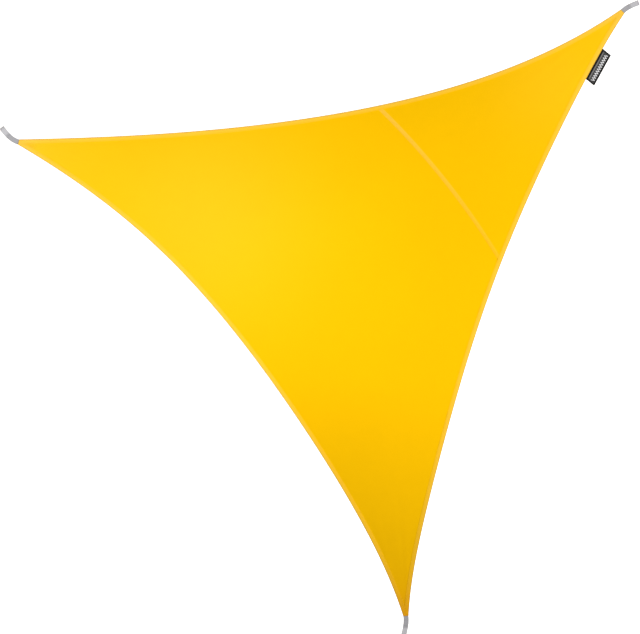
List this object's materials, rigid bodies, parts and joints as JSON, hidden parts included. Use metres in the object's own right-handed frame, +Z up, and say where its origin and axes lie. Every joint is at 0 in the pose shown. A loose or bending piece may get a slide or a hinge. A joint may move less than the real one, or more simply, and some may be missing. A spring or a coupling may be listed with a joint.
{
  "type": "triangular shade sail",
  "caption": "Triangular shade sail with hollow-cut hemmed edges, a lapped seam, a folded webbing loop at each corner for hanging and a bare label tab on the hem.",
  "frame": {"origin": "middle of the eye of the head loop, at the corner beside the label; the eyes of the other two loops are level with it", "axes": "+Z up, square to the plan of the stretched sail, with the face that shows the lap of the seam upwards; +X runs from the left corner towards the head corner's side, +Y from the foot corner towards the head corner's side"},
  "size_m": [3.0818, 3.0655, 0.0975],
  "materials": {
    "cloth": "closely woven coated polyester, matt with a soft sheen",
    "webbing": "flat woven polyester webbing, matt",
    "label": "woven satin label, bare"
  },
  "bodies": {
    "root": {"panel_main": "cloth", "panel_head": "cloth", "loop_left": "webbing", "loop_head": "webbing", "loop_foot": "webbing", "label": "label"}
  },
  "joints": []
}
